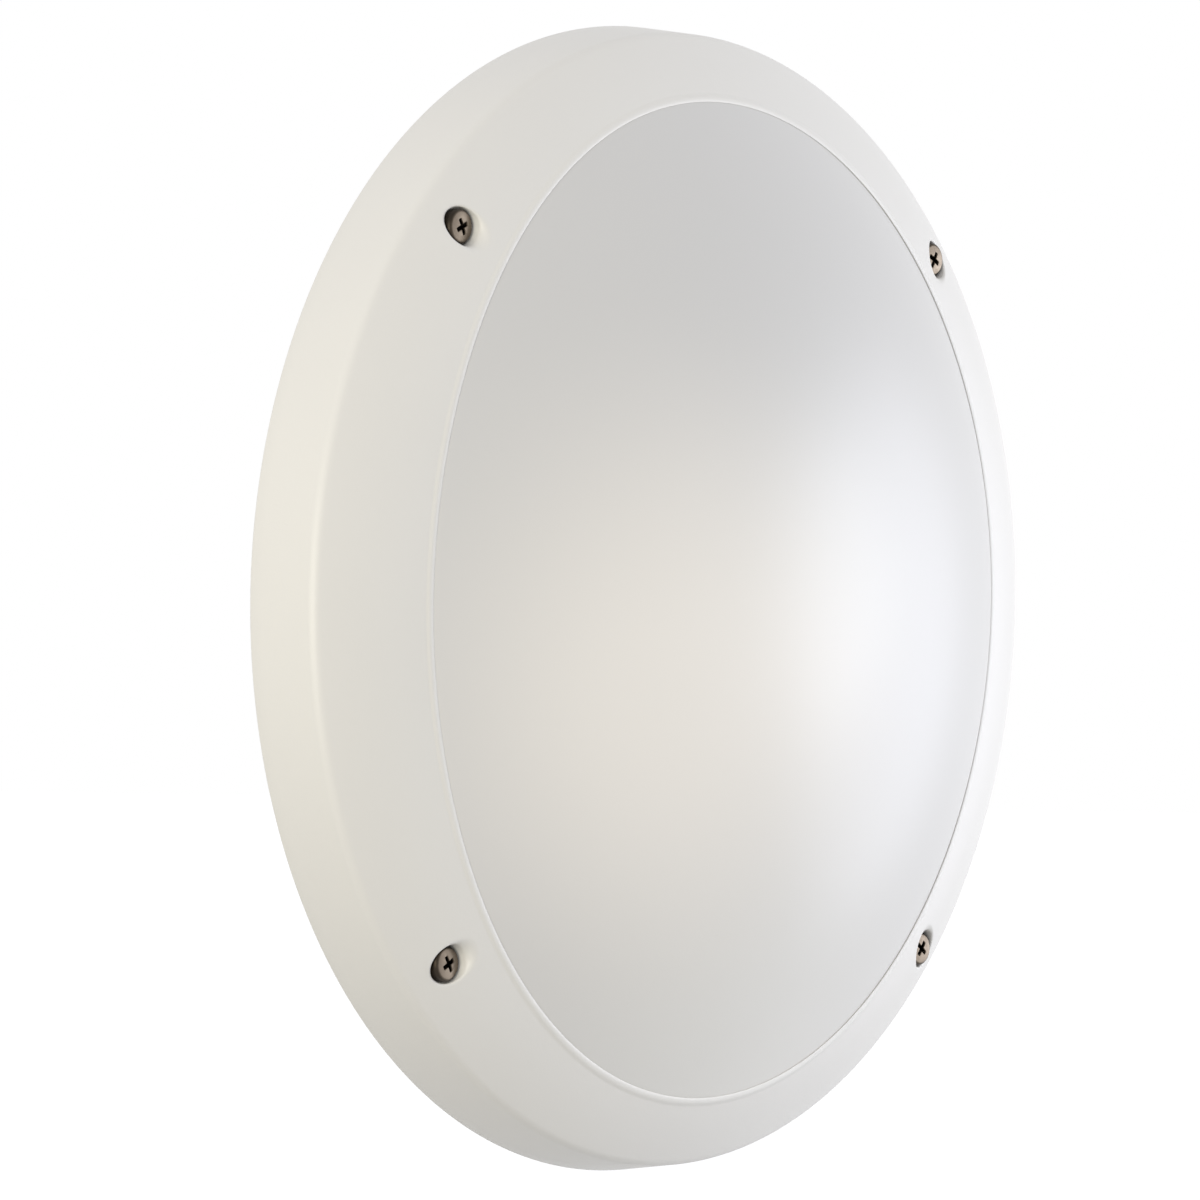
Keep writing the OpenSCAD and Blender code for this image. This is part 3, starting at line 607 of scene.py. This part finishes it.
dome_rx = arc_radius(HALF_W - DOME_GAP, DOME_TOP - float(crown_height(HALF_W)))
dome_ry = arc_radius(HALF_H - DOME_GAP, DOME_TOP - float(crown_height(HALF_H)))
EDGE_W, EDGE_DROP, EDGE_END = 1.2, 0.1, 0.15
FACE_SHARE = 0.985
FACE_POINTS, EDGE_POINTS, BACK_POINTS = 60, 8, 24

# share of the oval, growth, height, and 1 where that height is counted from the wall
section = [(s, -DOME_GAP * s, 0.0, 0) for s in np.linspace(0, FACE_SHARE, FACE_POINTS)]
section += [(1, -DOME_GAP - EDGE_W * (1 - s), -EDGE_DROP * s**2, 0) for s in np.linspace(0, 1, EDGE_POINTS)]
section += [(1, -DOME_GAP, -EDGE_DROP - EDGE_END, 0)]
skirt = -DOME_GAP - DOME_WALL
section += [(1, -DOME_GAP, CLAMP_Z, 1), (1, FLANGE_REACH, CLAMP_Z, 1), (1, FLANGE_REACH, FLANGE_Z, 1)]
section += [(1, skirt, FLANGE_Z, 1)]
section += [(s, skirt * s, -DOME_WALL, 0) for s in np.linspace(1, 0, BACK_POINTS)]
print("dome radii", round(dome_rx, 1), round(dome_ry, 1), "- section points:", len(section))

# %% [markdown]
# A tree has named inputs. They are set on the modifier by their identifiers before the tree first runs, and
# the modifier's result becomes a plain mesh.

# %% Tree helpers
def new_tree(name, inputs):
    """A Geometry Nodes tree with named inputs. Returns its sheet and the inputs as signals."""
    tree = bpy.data.node_groups.new(name, "GeometryNodeTree")
    tree.interface.new_socket("Geometry", in_out="INPUT", socket_type="NodeSocketGeometry")
    for label, kind in inputs.items():
        tree.interface.new_socket(label, in_out="INPUT", socket_type=kind)
    tree.interface.new_socket("Geometry", in_out="OUTPUT", socket_type="NodeSocketGeometry")
    sheet = Sheet(tree)
    group = tree.nodes.new("NodeGroupInput")
    return sheet, {s.name: Signal(sheet, s) for s in group.outputs if s.name}


def attribute(sheet, name):
    """A number that is noted on each point."""
    kind = {"data_type": "FLOAT"}
    return sheet.add("GeometryNodeInputNamedAttribute", kind, {"Name": name}, out="Attribute")


def grown(piece, sheet, values):
    """Runs a tree on a piece, keeps the result as a plain mesh and takes the modifier off."""
    modifier = piece.modifiers.new(sheet.tree.name, "NODES")
    modifier.node_group = sheet.tree
    for item in sheet.tree.interface.items_tree:
        if item.in_out == "INPUT" and item.name in values:
            modifier[item.identifier] = values[item.name]
    graph = bpy.context.evaluated_depsgraph_get()
    mesh = bpy.data.meshes.new_from_object(piece.evaluated_get(graph))
    piece.modifiers.clear()
    piece.data = mesh
    bm = bmesh.new()
    bm.from_mesh(mesh)
    settle(bm, mesh)


print("tree helpers ready")

# %% [markdown]
# The dome's tree holds that formula. First it sweeps the string round the circle. The surface is an arc up
# and down that is turned about an upright line behind it, and each point takes its height from that.

# %% Dome tree
LENGTH, WELD = "NodeSocketFloat", 1e-6
sheet, size = new_tree("oval_dome", {
    "Half Width": LENGTH, "Half Height": LENGTH, "Crest": LENGTH,
    "Radius Across": LENGTH, "Radius Upright": LENGTH, "Segments": "NodeSocketInt",
})
string = sheet.add("GeometryNodeMeshToCurve", None, {"Mesh": size["Geometry"]})
path = sheet.add("GeometryNodeCurvePrimitiveCircle", None, {"Resolution": size["Segments"], "Radius": 1.0})
along = sheet.add("GeometryNodeSplineParameter", out="Factor")
path = sheet.add(
    "GeometryNodeStoreNamedAttribute",
    {"data_type": "FLOAT", "domain": "POINT"},
    {"Geometry": path, "Name": "turn", "Value": along},
)
swept = sheet.add("GeometryNodeCurveToMesh", None, {"Curve": path, "Profile Curve": string})

turn = attribute(sheet, "turn") * (2 * math.pi)
reach, grow = attribute(sheet, "share"), attribute(sheet, "grow")
x = (size["Half Width"] * reach + grow) * turn.math("COSINE", turn)
y = (size["Half Height"] * reach + grow) * turn.math("SINE", turn)
upright = size["Radius Across"] - size["Radius Upright"] + (size["Radius Upright"] ** 2 - y**2).sqrt()
dome = size["Crest"] - size["Radius Across"] + (upright**2 - x**2).sqrt()
out_of_wall = attribute(sheet, "lift") + (1 - attribute(sheet, "level")) * dome
spot = sheet.add("ShaderNodeCombineXYZ", None, {"X": x, "Y": 0 - out_of_wall, "Z": y})
placed = sheet.add("GeometryNodeSetPosition", None, {"Geometry": swept, "Position": spot})
closed = sheet.add("GeometryNodeMergeByDistance", None, {"Geometry": placed, "Distance": WELD})
real = sheet.add("GeometryNodeRealizeInstances", None, {"Geometry": closed})
dressed = sheet.add("GeometryNodeSetMaterial", None, {"Geometry": real, "Material": opal_resin})
sheet.add("NodeGroupOutput", None, {"Geometry": dressed})
print("dome tree:", len(sheet.tree.nodes), "nodes")

# %% [markdown]
# The string itself is laid out in a plain row, because the tree gives every point its place. Only the numbers
# on the points matter.

# %% Grow the dome
SEGMENTS = 320
mesh = bpy.data.meshes.new("opal_dome")
beads = [(k * MM, 0, 0) for k in range(len(section))]
threads = [(k, k + 1) for k in range(len(section) - 1)]
mesh.from_pydata(beads, threads, [])
for name, values in zip(("share", "grow", "lift", "level"), zip(*section)):
    scale = MM if name in ("grow", "lift") else 1.0
    mesh.attributes.new(name, "FLOAT", "POINT").data.foreach_set("value", [float(v) * scale for v in values])
dome_piece = new_object("opal_dome", mesh)
grown(dome_piece, sheet, {
    "Half Width": HALF_W * MM, "Half Height": HALF_H * MM, "Crest": DOME_TOP * MM,
    "Radius Across": dome_rx * MM, "Radius Upright": dome_ry * MM, "Segments": SEGMENTS,
})
print("dome:", len(dome_piece.data.polygons), "faces")

# %% [markdown]
# ## Cover screws
# Four pan-head screws with a cross recess hold the bezel. A cold-headed screw has no sharp edges, so its top
# is a height field: a low cap with a round shoulder, minus a cross with sloping walls that gets shallower
# outwards. Shade is painted dark into the cross, on the shoulder and at the foot, where it falls, and is
# noted on the points. One screw is modelled, and a small tree puts copies on four points. Each point says how
# far its screw was turned.

# %% Shape of the head
FLAT_R, CAP_RISE = 3.6, 0.25
WING_L, WING_W, RECESS_D, RECESS_TAPER = 2.1, 0.95, 1.9, 0.35
# share of its depth that the recess loses on the way to a wing's end
WING_RISE = 0.55


def smooth_step(value):
    """Eases from 0 to 1."""
    value = np.clip(value, 0, 1)
    return value * value * (3 - 2 * value)


def cross(x, y):
    """Depth of the recess."""
    cut = np.zeros_like(x)
    for along, across in ((x, y), (y, x)):
        inside = smooth_step((WING_W / 2 + RECESS_TAPER / 2 - abs(across)) / RECESS_TAPER)
        inside = inside * smooth_step((WING_L + RECESS_TAPER / 2 - abs(along)) / RECESS_TAPER)
        cut = np.maximum(cut, inside * RECESS_D * (1 - WING_RISE * np.minimum(abs(along) / WING_L, 1)))
    return cut


def head_height(x, y):
    """Height of the head's top above its seat."""
    out = np.hypot(x, y)
    over = np.clip((out - FLAT_R) / (HEAD_R - FLAT_R), 0, 1)
    shoulder = (HEAD_H - CAP_RISE - HEAD_EDGE) * (1 - np.sqrt(1 - over**2))
    return HEAD_H - CAP_RISE * np.minimum(out / FLAT_R, 1) ** 2 - shoulder - cross(x, y)


print("flat top", 2 * FLAT_R, "mm of", 2 * HEAD_R, "mm")

# %% [markdown]
# The screw's outline runs from the middle of the head to the tip of the shank. Each place on it becomes a
# ring of points, and the ends are closed.

# %% One screw
SPOKES, TOP_RINGS, SHOULDER_RINGS = 144, 46, 10
TOP_START, FOOT_EDGE = 0.06, 0.12
TIP_R, TIP_L = 0.5, 2.0
# how much shade is painted on the shoulder, the width it fades in over, and the recess depth at which the
# cross is painted fully dark
SHOULDER_SHADE, SHOULDER_FADE, CROSS_FADE = 0.8, 0.7, 0.5

spin = np.arange(SPOKES) * 2 * math.pi / SPOKES
shoulder = FLAT_R + (HEAD_R - FLAT_R) * np.sin(np.radians(np.linspace(9, 90, SHOULDER_RINGS)))
# distance from the axis, height (none on the top, which has its own rule) and painted shade
outline = [(r, None, 0.0) for r in np.linspace(TOP_START, FLAT_R, TOP_RINGS)]
outline += [(r, None, SHOULDER_SHADE * smooth_step((r - FLAT_R) / SHOULDER_FADE)) for r in shoulder]
# painted shade down the head's side, full at the foot where the head meets its seat
outline += [(HEAD_R, 0.7 * HEAD_EDGE, 0.45), (HEAD_R, 0.4 * HEAD_EDGE, 0.6), (HEAD_R, FOOT_EDGE, 1.0)]
outline += [(HEAD_R - FOOT_EDGE, 0.0, 1.0), (SHANK_R, 0.0, 1.0)]
outline += [(SHANK_R, -SHANK_L + TIP_L, 0.0), (TIP_R, -SHANK_L, 0.0)]
bm = bmesh.new()
painted_shade = bm.verts.layers.float.new("painted_shade")
loops = []
for r, z, shade_share in outline:
    x, y = r * np.cos(spin), r * np.sin(spin)
    loop = [bm.verts.new(p) for p in world(x, y, head_height(x, y) if z is None else z)]
    # painted shade: the outline's own share, or more where the cross recess is deep
    for vert, value in zip(loop, np.maximum(shade_share, smooth_step(cross(x, y) / CROSS_FADE))):
        vert[painted_shade] = value
    loops.append(loop)
join_rings(bm, loops)
bm.faces.new(loops[0])
bm.faces.new(loops[-1])
mesh = bpy.data.meshes.new("one_screw")
settle(bm, mesh)
one_screw = new_object("one_screw", mesh)
print("one screw:", len(one_screw.data.polygons), "faces")

# %% [markdown]
# The tree sets a copy of the screw on each of four points, and the model screw is taken away afterwards.

# %% Four screws
sheet, size = new_tree("screws_on_points", {"Screw": "NodeSocketObject"})
copy = sheet.add("GeometryNodeObjectInfo", None, {"Object": size["Screw"]}, out="Geometry")
twist = sheet.add("ShaderNodeCombineXYZ", None, {"Y": attribute(sheet, "turned")})
spread = sheet.add(
    "GeometryNodeInstanceOnPoints",
    None,
    {"Points": size["Geometry"], "Instance": copy, "Rotation": twist},
)
real = sheet.add("GeometryNodeRealizeInstances", None, {"Geometry": spread})
dressed = sheet.add("GeometryNodeSetMaterial", None, {"Geometry": real, "Material": dull_stainless})
sheet.add("NodeGroupOutput", None, {"Geometry": dressed})

mesh = bpy.data.meshes.new("cover_screw_set")
spots = [(SCREW_R * math.cos(angle[c]), SCREW_R * math.sin(angle[c])) for c in screw_columns]
mesh.from_pydata([tuple(world(x, y, SEAT_Z)) for x, y in spots], [], [])
TURNED = [math.radians(a) for a in (28, 65, 60, 36)]
mesh.attributes.new("turned", "FLOAT", "POINT").data.foreach_set("value", TURNED)
screws = new_object("cover_screw_set", mesh)
grown(screws, sheet, {"Screw": one_screw})
bpy.data.objects.remove(one_screw)
print("screws:", len(screws.data.polygons), "faces")

# %% [markdown]
# ## Put the finishes on
# The new pieces ride on the part's one body, and the nodes that they replace are hidden. Every other node
# keeps its own mesh and takes a finish by its material slot.

# %% Dress the part
bezel.data.materials.append(white_resin)
for piece, node, slot in (
    (bezel, "bezel", "white_moulding"),
    (dome_piece, "diffuser", "opal_moulding"),
    (screws, "cover_screws", "stainless_screw"),
):
    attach(piece, "root")
    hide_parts(node)

finish_of = {
    "white_moulding": white_resin,
    "opal_moulding": opal_resin,
    "stainless_screw": dull_stainless,
    "zinc_steel": zinc_plate,
    "brass": plain_brass,
    "seal_rubber": black_rubber,
    "natural_nylon": nylon,
    "holder_moulding": thermoset,
    "lamp_globe": lamp_glass,
    "brown_lead": brown_wire,
    "blue_lead": blue_wire,
}
for part in frame["record"]["subparts"]:
    piece = frame["nodes"][part["node"]]
    piece.data.materials.clear()
    piece.data.materials.append(finish_of[part["material_slot"]])

# %% [markdown]
# ## Floor and light
# The light hangs free above a pale floor, so its back can be seen too. The floor shows white to the camera
# where light reaches it, and a soft shadow where it doesn't.

# %% Floor
FLOOR_Z, FLOOR_R, FLOOR_SIDES = -0.75, 30.0, 64
GREY, WHITE = (0.40, 0.40, 0.40, 1.0), (1.0, 1.0, 1.0, 1.0)
FLOOR_WHITE = 0.80


def looked_at(sheet):
    """1 for rays that come straight from the camera, off a gloss or through glass, and 0 for other light."""
    kinds = ("Is Camera Ray", "Is Glossy Ray", "Is Transmission Ray")
    straight, gloss, glass = [sheet.add("ShaderNodeLightPath", out=kind) for kind in kinds]
    seen = straight.math("MAXIMUM", straight, gloss)
    return seen.math("MAXIMUM", seen, glass)


floor_paint, sheet = new_finish("floor_paint")
matt = sheet.add("ShaderNodeBsdfDiffuse", None, {"Color": GREY})
white = sheet.add("ShaderNodeEmission", None, {"Color": WHITE, "Strength": FLOOR_WHITE})
both = sheet.add("ShaderNodeAddShader", None, {0: matt, 1: white})
shown = sheet.add("ShaderNodeMixShader", None, {0: looked_at(sheet), 1: matt, 2: both})
sheet.add("ShaderNodeOutputMaterial", None, {"Surface": shown})

bm = bmesh.new()
bmesh.ops.create_circle(bm, cap_ends=True, radius=FLOOR_R, segments=FLOOR_SIDES)
bmesh.ops.translate(bm, verts=bm.verts, vec=(0, 0, FLOOR_Z))
mesh = bpy.data.meshes.new("floor")
bm.to_mesh(mesh)
bm.free()
floor = new_object("floor", mesh)
floor.data.materials.append(floor_paint)
print("floor at", FLOOR_Z, "m")

# %% [markdown]
# The sky lights the part evenly from all around. It is white where it is looked at.

# %% Sky
AMBIENT = (0.692, 0.696, 0.720)
sky = bpy.data.worlds.new("plain_sky")
sky.use_nodes = True
sky.node_tree.nodes.clear()
sheet = Sheet(sky.node_tree)
soft = sheet.add("ShaderNodeBackground", None, {"Color": (*AMBIENT, 1.0), "Strength": 1.0})
white = sheet.add("ShaderNodeBackground", None, {"Color": WHITE, "Strength": 1.0})
shown = sheet.add("ShaderNodeMixShader", None, {0: looked_at(sheet), 1: soft, 2: white})
sheet.add("ShaderNodeOutputWorld", None, {"Surface": shown})
bpy.context.scene.world = sky
print("sky light", AMBIENT)

# %% [markdown]
# A large cool lamp on the right, near the wall's plane, and a smaller one beside it make the broad gloss on
# the dome. A warmer lamp lights the left side.

# %% Lamps
# azimuth and elevation in degrees, as seen from the part, then distance and size in metres, level and colour
LAMPS = {
    "right": (67, -3, 1.6, 1.2, 0.387, (0.902, 0.917, 1.000)),
    "gloss": (52, 2, 1.6, 0.8, 0.228, (0.875, 0.920, 1.000)),
    "left": (-75, 0, 1.6, 1.0, 0.446, (1.000, 0.958, 0.815)),
}
for name, (azimuth, elevation, distance, wide, level, colour) in LAMPS.items():
    a, e = math.radians(azimuth), math.radians(elevation)
    aim = Vector((math.sin(a) * math.cos(e), -math.cos(a) * math.cos(e), math.sin(e)))
    lamp = bpy.data.lights.new(name, "AREA")
    lamp.shape, lamp.size, lamp.color = "DISK", wide, colour
    # A white face turned to the lamp shows as white at a level of 1
    lamp.energy = level * (math.pi * distance) ** 2
    holder = new_object(name, lamp)
    holder.location = aim * distance
    holder.rotation_euler = aim.to_track_quat("Z", "Y").to_euler()
print("lamps:", ", ".join(LAMPS))

# %% [markdown]
# ## Camera
# The picture was taken with a long lens from the left, level with the light, and the camera was tipped by
# about one degree. A long lens keeps the round body nearly a true ellipse.

# %% Camera
VIEW_AZIMUTH, VIEW_ROLL = math.radians(-51.2), math.radians(1.06)
VIEW_DISTANCE = 2.279
LENS, SENSOR, FAR_CLIP = 260.7, 36.0, 60.0
SLIDE_RIGHT, SLIDE_UP = -0.00619, -0.00039

back = Vector((math.sin(VIEW_AZIMUTH), -math.cos(VIEW_AZIMUTH), 0.0))
level_right = Vector((math.cos(VIEW_AZIMUTH), math.sin(VIEW_AZIMUTH), 0.0))
up = Vector((0.0, 0.0, 1.0))
right = math.cos(VIEW_ROLL) * level_right + math.sin(VIEW_ROLL) * up
top = math.cos(VIEW_ROLL) * up - math.sin(VIEW_ROLL) * level_right

lens = bpy.data.cameras.new("camera")
lens.lens, lens.sensor_width, lens.clip_end = LENS, SENSOR, FAR_CLIP
camera = new_object("camera", lens)
camera.location = back * VIEW_DISTANCE + right * SLIDE_RIGHT + top * SLIDE_UP
camera.rotation_euler = Matrix(np.column_stack([right, top, back]).tolist()).to_euler()
bpy.context.scene.camera = camera
bpy.context.scene.view_settings.view_transform = "Standard"
print("camera at", [round(v, 3) for v in camera.location])
